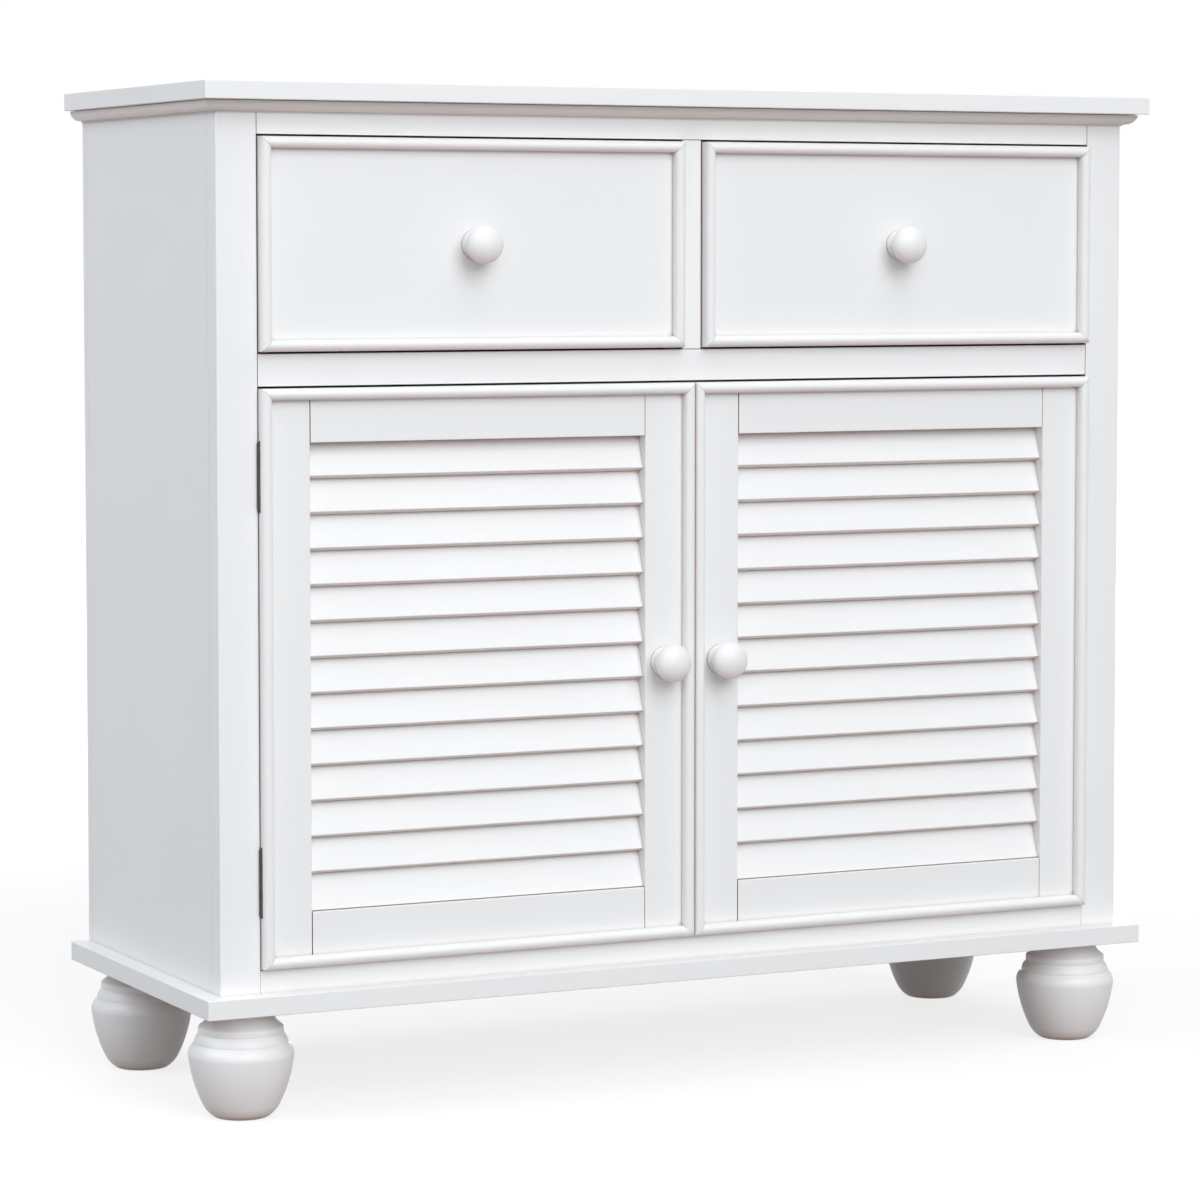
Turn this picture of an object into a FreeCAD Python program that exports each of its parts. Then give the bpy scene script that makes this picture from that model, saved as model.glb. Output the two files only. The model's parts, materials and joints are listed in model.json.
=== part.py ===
import FreeCAD, Part
import math
import os

# A cabinet with two drawers over two louvred doors, on bun feet, as separate wooden pieces.
# Millimetres. +X is right as seen from the front, +Y is the back, +Z is up.
# The origin is on the floor, at the middle of the overall width and depth.

V = FreeCAD.Vector

# Heights, from the floor up
FOOT_HEIGHT = 97.0
BASE_THICKNESS = 17.5
FLOOR_LIFT = 5.2              # air between the base board and the cupboard floor
FLOOR_THICKNESS = 15.0
DOOR_OPENING_HEIGHT = 514.6
MIDDLE_RAIL_HEIGHT = 28.2
DRAWER_OPENING_HEIGHT = 191.5
TOP_RAIL_SHOWING = 18.5       # the part of the top rail below the cornice
CORNICE_HEIGHT = 10.5
TOP_THICKNESS = 16.0

# Plan of the carcass
CARCASS_WIDTH = 929.0
CARCASS_DEPTH = 345.0
TOP_SIDE_OVERHANG = 18.0
TOP_FRONT_OVERHANG = 23.5
BASE_SIDE_OVERHANG = 18.0
BASE_FRONT_OVERHANG = 17.0
SLAB_EASE = 0.8               # rounded arris of the top and base boards
CORNICE_PROJECTION = 12.0
CORNICE_FILLET = 1.2          # small flats above and below the round of the cornice
CORNICE_LINE = 0.5            # hairline between the cornice and the top

# Boards of the carcass
SIDE_THICKNESS = 18.0
BACK_THICKNESS = 10.0
DECK_THICKNESS = 15.0
DADO_DEPTH = 6.0
SHELF_THICKNESS = 16.0
SHELF_RISE = 235.0            # from the cupboard floor to the underside of the shelf
SHELF_SETBACK = 24.0          # from the back of the face frame
SHELF_SIDE_GAP = 1.0

# Shelf pins, each a peg with a flat tab
PIN_DIAMETER = 5.0
PIN_DEPTH = 10.0
PIN_TAB_LENGTH = 9.0
PIN_TAB_WIDTH = 12.0
PIN_INSET = 45.0              # from the front and back edges of the shelf

# Face frame and its joints
FRAME_THICKNESS = 21.0
FRAME_STILE_WIDTH = 37.5
MULLION_WIDTH = 18.6
CORNER_EASE = 1.5             # rounded outer corners of the face frame
TENON_LENGTH = 18.0
TENON_THICKNESS = 8.0
TENON_SHOULDER = 4.0
MULLION_TENON_LENGTH = 10.0
SHOULDER_LINE = 0.7           # hairline left open at the shoulder of each tenon
EDGE_LINE = 0.3               # hairline beside the side panels and at the ends of the bottom rail
MITRE_LINE = 0.15             # hairline left open at each mitre
FIT = 0.1                     # clearance all round a glued tongue, slot or groove

# Half-round bead round every door and drawer front
BEAD_WIDTH = 10.2
BEAD_SIDE = 4.5               # straight side below the half round
BEAD_QUIRK = 0.5              # bevel on the back arrises, which leaves a fine line beside the bead
PANEL_PROUD = 1.5             # panel faces stand this far in front of the face frame

# Louvred doors
DOOR_THICKNESS = 25.0
DOOR_STILE_WIDTH = 48.0
DOOR_RAIL_HEIGHT = 48.0
DOOR_SIDE_GAP = 0.8           # beside the stile with the hinges
DOOR_TOP_GAP = 2.0
DOOR_BOTTOM_GAP = 1.3
DOOR_MEETING_GAP = 0.2        # at the faces of the doors
DOOR_EDGE_BEVEL = 1.0         # each meeting edge falls away by this much towards the back
DOOR_TENON_LENGTH = 22.0
DOOR_TENON_THICKNESS = 9.0
DOOR_TENON_SHOULDER = 8.0
DOOR_EASE = 0.8               # rounded arris next to the slats
SLAT_THICKNESS = 9.5
SLAT_TILT = 19.5              # degrees from upright, lower edge forward
SLAT_GAP = 1.1                # least air between one slat and the next
SLAT_LAP = 0.3                # height by which a slat reaches past the foot of the next one up
SLAT_EASE = 0.7               # rounded arrises of the slats
SLAT_SETBACK = 4.5            # lower edge behind the face of the stiles
SLAT_END_GAP = 0.4            # between the end slats and the rails
SLAT_HOUSING = 6.0            # depth of the slots in the stiles

# Butt hinges, let into the edges on both sides of the gap beside the door
HINGE_LENGTH = 58.0
HINGE_INSET = 48.0            # from the end of the door to the barrel
LEAF_THICKNESS = 0.7
LEAF_CLEARANCE = 0.2          # between the two closed leaves
LEAF_WIDTH = 15.0
BARREL_DIAMETER = 3.9
BARREL_STAND_OFF = 0.1        # between the barrel and the plane of the face frame
BARREL_OFFSET = 0.6           # from the middle of the gap towards the door
HINGE_PIN_DIAMETER = 1.6
HINGE_PIN_CLEARANCE = 0.05    # radial, so that the knuckles turn
KNUCKLE_COUNT = 5
KNUCKLE_GAP = 0.3
BARREL_NOTCH = 0.5            # room cut in the door round the barrel

# Screws
SCREW_DIAMETER = 3.0
SCREW_HEAD = 4.8
SCREW_LENGTH = 14.0
SCREW_CLEARANCE = 0.05        # radial
HINGE_SCREWS = 3              # in each leaf
KNOB_SCREW_DIAMETER = 4.0
KNOB_SCREW_HEAD = 8.0
KNOB_SCREW_HEAD_HEIGHT = 2.6
KNOB_SCREW_REACH = 14.0       # length inside the knob

# Turned knobs, outwards from the panel
KNOB_FOOT_DIAMETER = 27.0
KNOB_NECK_DIAMETER = 16.0
KNOB_DIAMETER = 34.5
KNOB_FOOT_EDGE = 1.5          # straight edge of the foot
KNOB_FOOT_ROUND = 2.0         # its rounded arris
KNOB_COVE = 4.0               # hollow from the foot up to the neck
KNOB_UNDERCUT = 4.5           # hollow from the neck out to the head
KNOB_UNDERCUT_REACH = 2.5
KNOB_BACK_HEIGHT = 8.5        # from the back of the head to its widest ring
KNOB_DOME_HEIGHT = 10.5       # from the widest ring to the tip

# Drawers
DRAWER_SIDE_GAP = 1.2         # beside a drawer front
DRAWER_END_GAP = 2.0          # above and below it
DRAWER_FRONT_THICKNESS = 18.0
DRAWER_SIDE_THICKNESS = 12.0
DRAWER_SIDE_INSET = 1.0       # from the end of the front to the outer face of a side
DRAWER_LOCK = 8.0             # depth that the sides are let into the front
DRAWER_HEAD_ROOM = 4.0
DRAWER_RUN_GAP = 0.3          # under the sides
DRAWER_GUIDE_GAP = 0.5        # beside the sides
DRAWER_STOP_GAP = 0.5         # between the sides and the back of the carcass
DRAWER_BACK_THICKNESS = 12.0
DRAWER_BACK_INSET = 8.0
DRAWER_BACK_DROP = 10.0       # top of the back below the top of the sides
DRAWER_BACK_HOUSING = 4.0
DRAWER_BOTTOM_THICKNESS = 6.0
DRAWER_BOTTOM_LIFT = 10.0
DRAWER_BOTTOM_HOUSING = 5.0
GUIDE_HEIGHT = 16.0
KICKER_LAP = 8.0              # reach of a kicker past the drawer side

# Magnetic catch behind the middle rail, and a strike on each door
STRIKE_WIDTH = 18.0
STRIKE_HEIGHT = 16.0
STRIKE_THICKNESS = 1.2
STRIKE_DROP = 5.0             # below the top of the door
STRIKE_INSET = 6.0            # from the meeting edge of the door
CATCH_DEPTH = 15.0
CATCH_GAP = 0.3
CATCH_EAR_LENGTH = 11.0
CATCH_EAR_THICKNESS = 3.0

# Bun feet: radius and height of each point of the turned outline
FOOT_TOP_RADIUS = 28.5
FOOT_COLLAR_RADIUS = 37.7
FOOT_COLLAR_TOP = 81.5
FOOT_COLLAR_BOTTOM = 75.4
FOOT_RING_RADIUS = 42.4
FOOT_RING_BOTTOM = 66.6
FOOT_BUN_RADIUS = 47.2
FOOT_BUN_HEIGHT = 55.9        # where the bun is widest
FOOT_WAIST_RADIUS = 33.9
FOOT_WAIST_HEIGHT = 10.3
FOOT_SOLE_RADIUS = 23.6
FOOT_GROOVE = 0.5             # depth of the cut line above and below the ring
FOOT_COVE = 2.6               # hollow of the neck, from its chord
FOOT_COLLAR_SWELL = 0.3       # outward swell of each round, from its chord
FOOT_RING_SWELL = 1.2
FOOT_SHOULDER_SWELL = 1.6
FOOT_BUN_SWELL = 2.2
FOOT_TOE_SWELL = 1.0
FOOT_SIDE_INSET = 51.0        # from the ends of the base board
FOOT_END_INSET = 53.0         # from the front and back of the base board
BOLT_DIAMETER = 8.0
BOLT_IN_FOOT = 32.0
BOLT_IN_BASE = 13.0

# Levels and planes worked out from the sizes above
BASE_TOP = FOOT_HEIGHT + BASE_THICKNESS
FLOOR_TOP = BASE_TOP + FLOOR_LIFT + FLOOR_THICKNESS
MIDDLE_BOTTOM = FLOOR_TOP + DOOR_OPENING_HEIGHT
DECK_TOP = MIDDLE_BOTTOM + MIDDLE_RAIL_HEIGHT
TOP_RAIL_BOTTOM = DECK_TOP + DRAWER_OPENING_HEIGHT
CORNICE_BOTTOM = TOP_RAIL_BOTTOM + TOP_RAIL_SHOWING
TOP_BOTTOM = CORNICE_BOTTOM + CORNICE_HEIGHT
TOP_TOP = TOP_BOTTOM + TOP_THICKNESS

KNOB_FOOT_TOP = KNOB_FOOT_EDGE + KNOB_FOOT_ROUND
KNOB_NECK = KNOB_FOOT_TOP + KNOB_COVE
KNOB_HEAD_BACK = KNOB_NECK + KNOB_UNDERCUT
KNOB_WIDEST = KNOB_HEAD_BACK + KNOB_BACK_HEIGHT
KNOB_LENGTH = KNOB_WIDEST + KNOB_DOME_HEIGHT
REACH = max(PANEL_PROUD + KNOB_LENGTH, TOP_FRONT_OVERHANG, BASE_FRONT_OVERHANG)
FRONT = (REACH - CARCASS_DEPTH) / 2
FRAME_BACK = FRONT + FRAME_THICKNESS
BACK = FRONT + CARCASS_DEPTH
BACK_FACE = BACK - BACK_THICKNESS
PANEL_FACE = FRONT - PANEL_PROUD
DOOR_BACK = PANEL_FACE + DOOR_THICKNESS

HALF = CARCASS_WIDTH / 2
INSIDE = HALF - SIDE_THICKNESS
OPEN = HALF - FRAME_STILE_WIDTH

FRAME_Y = (FRONT, FRAME_BACK)
INNER_Y = (FRAME_BACK, BACK_FACE)
DOOR_Y = (PANEL_FACE, DOOR_BACK)
DOOR_X = (-OPEN + DOOR_SIDE_GAP, -DOOR_MEETING_GAP / 2)
DOOR_Z = (FLOOR_TOP + DOOR_BOTTOM_GAP, MIDDLE_BOTTOM - DOOR_TOP_GAP)
DOOR_INNER_X = (DOOR_X[0] + DOOR_STILE_WIDTH, DOOR_X[1] - DOOR_STILE_WIDTH)
DOOR_INNER_Z = (DOOR_Z[0] + DOOR_RAIL_HEIGHT, DOOR_Z[1] - DOOR_RAIL_HEIGHT)
DRAWER_X = (-OPEN + DRAWER_SIDE_GAP, -MULLION_WIDTH / 2 - DRAWER_SIDE_GAP)
DRAWER_Z = (DECK_TOP + DRAWER_END_GAP, TOP_RAIL_BOTTOM - DRAWER_END_GAP)
HINGE_BOTTOMS = (DOOR_Z[0] + HINGE_INSET, DOOR_Z[1] - HINGE_INSET - HINGE_LENGTH)
GAP_MIDDLE = -OPEN + DOOR_SIDE_GAP / 2
HINGE_AXIS = V(GAP_MIDDLE + BARREL_OFFSET, FRONT - BARREL_STAND_OFF - BARREL_DIAMETER / 2, 0)

SLAT_LEAN = math.radians(SLAT_TILT)
SLAT_RUN = DOOR_INNER_Z[1] - DOOR_INNER_Z[0] - 2 * SLAT_END_GAP - SLAT_LAP
SLAT_COUNT = max(1, math.floor(SLAT_RUN * math.sin(SLAT_LEAN) / (SLAT_THICKNESS + SLAT_GAP)))
SLAT_PITCH = SLAT_RUN / SLAT_COUNT
SLAT_WIDTH = (SLAT_PITCH + SLAT_LAP - SLAT_THICKNESS * math.sin(SLAT_LEAN)) / math.cos(SLAT_LEAN)

PIECES = {}


def board(x, y, z):
    """A squared board between pairs of limits along X, Y and Z."""
    return Part.makeBox(x[1] - x[0], y[1] - y[0], z[1] - z[0], V(x[0], y[0], z[0]))


def grown(limits, room):
    """Pairs of limits, each pair opened by the same room at both ends."""
    return [(low - room, high + room) for low, high in limits]


def mirrored(shape):
    """The same piece on the other side of the middle plane."""
    return shape.mirror(V(0, 0, 0), V(1, 0, 0))


def eased(shape, radius, wanted):
    """The shape with a rounded arris on each edge whose middle point is wanted."""
    return shape.makeFillet(radius, [edge for edge in shape.Edges if wanted(edge.CenterOfMass)])


def add(name, *shapes):
    """Keep one named piece, or one named group of like pieces."""
    solids = [solid for shape in shapes for solid in shape.Solids]
    PIECES[name] = solids[0] if len(solids) == 1 else Part.makeCompound(solids)


def add_pair(name, *shapes):
    """Keep a left piece, and its mirror image on the right."""
    add("left_" + name, *shapes)
    add("right_" + name, *[mirrored(shape) for shape in shapes])


def tenoned_rail(x, y, z, line, length, thickness, shoulder):
    """A rail along X with a hairline and a tenon at each end, and the block that cuts its two mortises."""
    middle = (y[0] + y[1]) / 2
    tongue_y = (middle - thickness / 2, middle + thickness / 2)
    tongue = [(x[0] - length, x[1] + length), tongue_y, (z[0] + shoulder, z[1] - shoulder)]
    body = board((x[0] + line, x[1] - line), y, z)
    return body.fuse(board(*tongue)).removeSplitter(), board(*grown(tongue, FIT))


def countersunk(head, direction, room=0.0):
    """A countersunk screw with its head flush at a point, or the hole for it when given room."""
    wide = SCREW_HEAD / 2 + room
    narrow = SCREW_DIAMETER / 2 + room
    cone = Part.makeCone(wide, narrow, wide - narrow, head, direction)
    return cone.fuse(Part.makeCylinder(narrow, SCREW_LENGTH + room, head, direction))


def slab(side_overhang, front_overhang, z):
    """The top or the base: a plain board flush at the back, with every arris rounded."""
    reach = HALF + side_overhang
    plain = board((-reach, reach), (FRONT - front_overhang, BACK), z)
    return plain.makeFillet(SLAB_EASE, plain.Edges)


def cornice():
    """Three lengths of quarter-round moulding under the top, mitred at the front corners."""
    top = TOP_BOTTOM - CORNICE_LINE
    rise = top - CORNICE_BOTTOM - 2 * CORNICE_FILLET
    run = CORNICE_PROJECTION - CORNICE_FILLET
    slant = math.sqrt(0.5)
    centre_z = top - CORNICE_FILLET

    def profile(start, out):
        """The moulding's section at a corner of the carcass, reaching in the direction out."""
        def at(reach, z):
            return start + out * reach + V(0, 0, z)
        low = at(CORNICE_FILLET, CORNICE_BOTTOM + CORNICE_FILLET)
        belly = at(CORNICE_FILLET + run * slant, centre_z - rise * slant)
        high = at(CORNICE_PROJECTION, centre_z)
        corners = [high, at(CORNICE_PROJECTION, top), at(0, top), at(0, CORNICE_BOTTOM),
                   at(CORNICE_FILLET, CORNICE_BOTTOM), low]
        sides = [Part.makeLine(a, b) for a, b in zip(corners, corners[1:])]
        return Part.Face(Part.Wire([Part.Arc(low, belly, high).toShape()] + sides))

    def mitre(corners):
        """An upright block with the plan of one length of moulding."""
        points = [V(x, y, CORNICE_BOTTOM) for x, y in corners]
        return Part.Face(Part.makePolygon(points + points[:1])).extrude(V(0, 0, CORNICE_HEIGHT))

    out = CORNICE_PROJECTION
    line = MITRE_LINE
    left_start = V(-HALF - out, FRONT, 0)
    front_length = profile(left_start, V(0, -1, 0)).extrude(V(2 * (HALF + out), 0, 0))
    front_plan = mitre([(-HALF + line, FRONT), (HALF - line, FRONT),
                        (HALF + out - line, FRONT - out), (-HALF - out + line, FRONT - out)])
    side_length = profile(V(-HALF, FRONT - out, 0), V(-1, 0, 0)).extrude(V(0, CARCASS_DEPTH + out, 0))
    side_plan = mitre([(-HALF, FRONT + line), (-HALF, BACK), (-HALF - out, BACK),
                       (-HALF - out, FRONT - out + line)])
    left = side_length.common(side_plan)
    return front_length.common(front_plan), left, mirrored(left)


def face_frame():
    """Two stiles, three rails and the mullion between the drawers, with mortise and tenon joints."""
    levels = {
        "bottom_rail": (BASE_TOP, FLOOR_TOP, EDGE_LINE),
        "middle_rail": (MIDDLE_BOTTOM, DECK_TOP, SHOULDER_LINE),
        "top_rail": (TOP_RAIL_BOTTOM, TOP_BOTTOM, SHOULDER_LINE),
    }
    stile = board((-HALF, -OPEN), FRAME_Y, (BASE_TOP, TOP_BOTTOM))
    outer_corner = V(-HALF, FRONT, 0)
    stile = eased(stile, CORNER_EASE, lambda p: (V(p.x, p.y, 0) - outer_corner).Length < CORNER_EASE)
    rails = {}
    for name, (low, high, line) in levels.items():
        rail, mortise = tenoned_rail((-OPEN, OPEN), FRAME_Y, (low, high), line, TENON_LENGTH, TENON_THICKNESS,
                                     TENON_SHOULDER)
        rails[name] = rail
        stile = stile.cut(mortise)
    stile = stile.cut(leaf_recesses(-1) + frame_leaf_screws(SCREW_CLEARANCE))

    half = MULLION_WIDTH / 2
    middle = (FRONT + FRAME_BACK) / 2
    tongue = [(-half + TENON_SHOULDER, half - TENON_SHOULDER),
              (middle - TENON_THICKNESS / 2, middle + TENON_THICKNESS / 2),
              (DECK_TOP - MULLION_TENON_LENGTH, TOP_RAIL_BOTTOM + MULLION_TENON_LENGTH)]
    post = board((-half, half), FRAME_Y, (DECK_TOP + SHOULDER_LINE, TOP_RAIL_BOTTOM - SHOULDER_LINE))
    mortise = board(*grown(tongue, FIT))
    for name in ("middle_rail", "top_rail"):
        rails[name] = rails[name].cut(mortise)

    add_pair("front_stile", stile)
    for name, rail in rails.items():
        add(name, rail)
    add("drawer_mullion", post.fuse(board(*tongue)).removeSplitter())


def shelf_fittings():
    """The loose shelf, its four pins, and the peg holes for the left side panel."""
    reach = INSIDE - SHELF_SIDE_GAP
    y = (FRAME_BACK + SHELF_SETBACK, BACK_FACE - SHELF_SIDE_GAP)
    bottom = FLOOR_TOP + SHELF_RISE
    pins = []
    holes = []
    inward = V(1, 0, 0)
    for peg_y in (y[0] + PIN_INSET, y[1] - PIN_INSET):
        end = V(-INSIDE - PIN_DEPTH, peg_y, bottom - PIN_DIAMETER / 2)
        peg = Part.makeCylinder(PIN_DIAMETER / 2, PIN_DEPTH + PIN_TAB_LENGTH / 2, end, inward)
        tab_y = (peg_y - PIN_TAB_WIDTH / 2, peg_y + PIN_TAB_WIDTH / 2)
        tab = board((-INSIDE, -INSIDE + PIN_TAB_LENGTH), tab_y, (bottom - PIN_DIAMETER, bottom))
        pins.append(peg.fuse(tab).removeSplitter())
        holes.append(Part.makeCylinder(PIN_DIAMETER / 2 + FIT, PIN_DEPTH + FIT, end - inward * FIT, inward))
    add("shelf", board((-reach, reach), y, (bottom, bottom + SHELF_THICKNESS)))
    add("shelf_pins", *pins, *[mirrored(pin) for pin in pins])
    return holes


def carcass():
    """Sides, back, cupboard floor, drawer deck and the strips that guide the drawers."""
    housed = INSIDE + DADO_DEPTH
    floor = [(-housed, housed), INNER_Y, (FLOOR_TOP - FLOOR_THICKNESS, FLOOR_TOP)]
    deck = [(-housed, housed), INNER_Y, (DECK_TOP - DECK_THICKNESS, DECK_TOP)]
    side = board((-HALF, -INSIDE), (FRAME_BACK + EDGE_LINE, BACK_FACE - EDGE_LINE), (BASE_TOP, TOP_BOTTOM))
    for groove in (floor, deck):
        side = side.cut(board(*grown(groove, FIT)))
    for hole in shelf_fittings():
        side = side.cut(hole)
    add_pair("side_panel", side)
    add("back_panel", board((-HALF, HALF), (BACK_FACE, BACK), (BASE_TOP, TOP_BOTTOM)))
    add("floor_panel", board(*floor))
    deck_board = board(*deck)
    for hole in catch_screws(SCREW_CLEARANCE):
        deck_board = deck_board.cut(hole)
    add("drawer_deck", deck_board)

    side_face = DRAWER_X[0] + DRAWER_SIDE_INSET
    inner_face = -DRAWER_X[1] + DRAWER_SIDE_INSET
    guide_z = (DECK_TOP, DECK_TOP + GUIDE_HEIGHT)
    kicker_z = (TOP_RAIL_BOTTOM, TOP_BOTTOM)
    past_side = DRAWER_SIDE_THICKNESS + KICKER_LAP
    outer_guide = board((-INSIDE, side_face - DRAWER_GUIDE_GAP), INNER_Y, guide_z)
    outer_kicker = board((-INSIDE, side_face + past_side), INNER_Y, kicker_z)
    centre = inner_face - DRAWER_GUIDE_GAP
    centre_guide = board((-centre, centre), INNER_Y, guide_z)
    centre_kicker = board((-inner_face - past_side, inner_face + past_side), INNER_Y, kicker_z)
    add("drawer_runner_strips", outer_guide, centre_guide, mirrored(outer_guide),
        outer_kicker, centre_kicker, mirrored(outer_kicker))


def foot_at(centre):
    """One turned bun foot, standing on the floor below a point."""
    def at(radius, height):
        return V(radius, 0, height)

    def arc(a, b, swell):
        """An arc down the outline from a to b, whose middle stands out from the chord by the swell."""
        chord = b - a
        middle = (a + b) * 0.5 + V(-chord.z, 0, chord.x) * (swell / chord.Length)
        return Part.Arc(a, middle, b).toShape()

    top = at(FOOT_TOP_RADIUS, FOOT_HEIGHT)
    collar_top = at(FOOT_COLLAR_RADIUS, FOOT_COLLAR_TOP)
    collar_bottom = at(FOOT_COLLAR_RADIUS, FOOT_COLLAR_BOTTOM)
    ring_top = at(FOOT_COLLAR_RADIUS - FOOT_GROOVE, FOOT_COLLAR_BOTTOM)
    ring_bottom = at(FOOT_RING_RADIUS - FOOT_GROOVE, FOOT_RING_BOTTOM)
    bun_top = at(FOOT_RING_RADIUS - 2 * FOOT_GROOVE, FOOT_RING_BOTTOM)
    bun_wide = at(FOOT_BUN_RADIUS, FOOT_BUN_HEIGHT)
    waist = at(FOOT_WAIST_RADIUS, FOOT_WAIST_HEIGHT)
    sole = at(FOOT_SOLE_RADIUS, 0)
    outline = [
        Part.makeLine(at(0, 0), at(0, FOOT_HEIGHT)),
        Part.makeLine(at(0, FOOT_HEIGHT), top),
        arc(top, collar_top, -FOOT_COVE),
        arc(collar_top, collar_bottom, FOOT_COLLAR_SWELL),
        Part.makeLine(collar_bottom, ring_top),
        arc(ring_top, ring_bottom, FOOT_RING_SWELL),
        Part.makeLine(ring_bottom, bun_top),
        arc(bun_top, bun_wide, FOOT_SHOULDER_SWELL),
        arc(bun_wide, waist, FOOT_BUN_SWELL),
        arc(waist, sole, FOOT_TOE_SWELL),
        Part.makeLine(sole, at(0, 0)),
    ]
    foot = Part.Face(Part.Wire(outline)).revolve(V(0, 0, 0), V(0, 0, 1), 360)
    foot.translate(centre)
    return foot.cut(bolt_at(centre, FIT))


def bolt_at(centre, room=0.0):
    """The bolt from a foot up into the base board, or the hole for it when given room."""
    length = BOLT_IN_FOOT + BOLT_IN_BASE + 2 * room
    start = centre + V(0, 0, FOOT_HEIGHT - BOLT_IN_FOOT - room)
    return Part.makeCylinder(BOLT_DIAMETER / 2 + room, length, start)


def top_and_base():
    """The top, its cornice, the base board, the four feet and their bolts."""
    add("top_panel", slab(TOP_SIDE_OVERHANG, TOP_FRONT_OVERHANG, (TOP_BOTTOM, TOP_TOP)))
    add("cornice", *cornice())
    base = slab(BASE_SIDE_OVERHANG, BASE_FRONT_OVERHANG, (FOOT_HEIGHT, BASE_TOP))
    side = HALF + BASE_SIDE_OVERHANG - FOOT_SIDE_INSET
    rows = {"front": FRONT - BASE_FRONT_OVERHANG + FOOT_END_INSET, "back": BACK - FOOT_END_INSET}
    bolts = []
    for row, y in rows.items():
        for hand, x in (("left", -side), ("right", side)):
            centre = V(x, y, 0)
            add(row + "_" + hand + "_foot", foot_at(centre))
            bolts.append(bolt_at(centre))
            base = base.cut(bolt_at(centre, FIT))
    add("base_board", base)
    add("foot_bolts", *bolts)


def bead_frame(x, z):
    """Four mitred lengths of half-round bead on the face of a front: bottom, left, top, right."""
    def length(run):
        """A length along +X from the origin, with its back on Y = 0 and its outer edge on Z = 0."""
        low = V(0, -BEAD_SIDE, 0)
        crest = V(0, -BEAD_SIDE - BEAD_WIDTH / 2, BEAD_WIDTH / 2)
        high = V(0, -BEAD_SIDE, BEAD_WIDTH)
        corners = [high, V(0, -BEAD_QUIRK, BEAD_WIDTH), V(0, 0, BEAD_WIDTH - BEAD_QUIRK), V(0, 0, BEAD_QUIRK),
                   V(0, -BEAD_QUIRK, 0), low]
        sides = [Part.makeLine(a, b) for a, b in zip(corners, corners[1:])]
        section = Part.Face(Part.Wire([Part.Arc(low, crest, high).toShape()] + sides))
        plan = [V(MITRE_LINE, 0, 0), V(run - MITRE_LINE, 0, 0),
                V(run - MITRE_LINE - BEAD_WIDTH, 0, BEAD_WIDTH), V(MITRE_LINE + BEAD_WIDTH, 0, BEAD_WIDTH)]
        block = Part.Face(Part.makePolygon(plan + plan[:1])).extrude(V(0, -BEAD_SIDE - BEAD_WIDTH, 0))
        return section.extrude(V(run, 0, 0)).common(block)

    wide = x[1] - x[0]
    tall = z[1] - z[0]
    places = [(wide, 0, (x[0], z[0])), (tall, 90, (x[0], z[1])),
              (wide, 180, (x[1], z[1])), (tall, 270, (x[1], z[0]))]
    strips = []
    for run, turn, (corner_x, corner_z) in places:
        strip = length(run)
        strip.rotate(V(0, 0, 0), V(0, 1, 0), turn)
        strip.translate(V(corner_x, PANEL_FACE, corner_z))
        strips.append(strip)
    return strips


def knob_at(x, z):
    """A turned knob on the face of a front: a flanged foot, a hollow neck and an egg-shaped head."""
    def at(out, radius):
        return V(x + radius, PANEL_FACE - out, z)

    def quarter(start, corner, end):
        """A quarter of an ellipse, which leaves its start and meets its end along the sides of the corner."""
        curve = Part.BezierCurve()
        curve.setPoles([start, corner, end])
        curve.setWeight(2, math.sqrt(0.5))
        return curve.toShape()

    rim = KNOB_DIAMETER / 2
    foot = KNOB_FOOT_DIAMETER / 2
    neck = KNOB_NECK_DIAMETER / 2
    tip = at(KNOB_LENGTH, 0)
    foot_edge = at(KNOB_FOOT_EDGE, foot)
    foot_top = at(KNOB_FOOT_TOP, foot - KNOB_FOOT_ROUND)
    narrowest = at(KNOB_NECK, neck)
    head_back = at(KNOB_HEAD_BACK, neck + KNOB_UNDERCUT_REACH)
    widest = at(KNOB_WIDEST, rim)
    outline = [
        Part.makeLine(tip, at(0, 0)),
        Part.makeLine(at(0, 0), at(0, foot)),
        Part.makeLine(at(0, foot), foot_edge),
        quarter(foot_edge, at(KNOB_FOOT_TOP, foot), foot_top),
        quarter(foot_top, at(KNOB_FOOT_TOP, neck), narrowest),
        quarter(narrowest, at(KNOB_HEAD_BACK, neck), head_back),
        quarter(head_back, at(KNOB_HEAD_BACK, rim), widest),
        quarter(widest, at(KNOB_LENGTH, rim), tip),
    ]
    knob = Part.Face(Part.Wire(outline)).revolve(V(x, 0, z), V(0, 1, 0), 360)
    bore = Part.makeCylinder(KNOB_SCREW_DIAMETER / 2 + SCREW_CLEARANCE, KNOB_SCREW_REACH + SCREW_CLEARANCE,
                             at(0, 0), V(0, -1, 0))
    return knob.cut(bore)


def knob_screw(x, z, thickness):
    """The screw that holds a knob from behind a front of this thickness, and the hole for it."""
    back = V(x, PANEL_FACE + thickness, z)
    head = Part.makeCylinder(KNOB_SCREW_HEAD / 2, KNOB_SCREW_HEAD_HEIGHT, back, V(0, 1, 0))
    shank = Part.makeCylinder(KNOB_SCREW_DIAMETER / 2, thickness + KNOB_SCREW_REACH, back, V(0, -1, 0))
    hole = Part.makeCylinder(KNOB_SCREW_DIAMETER / 2 + SCREW_CLEARANCE, thickness, back, V(0, -1, 0))
    return head.fuse(shank), hole


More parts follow.
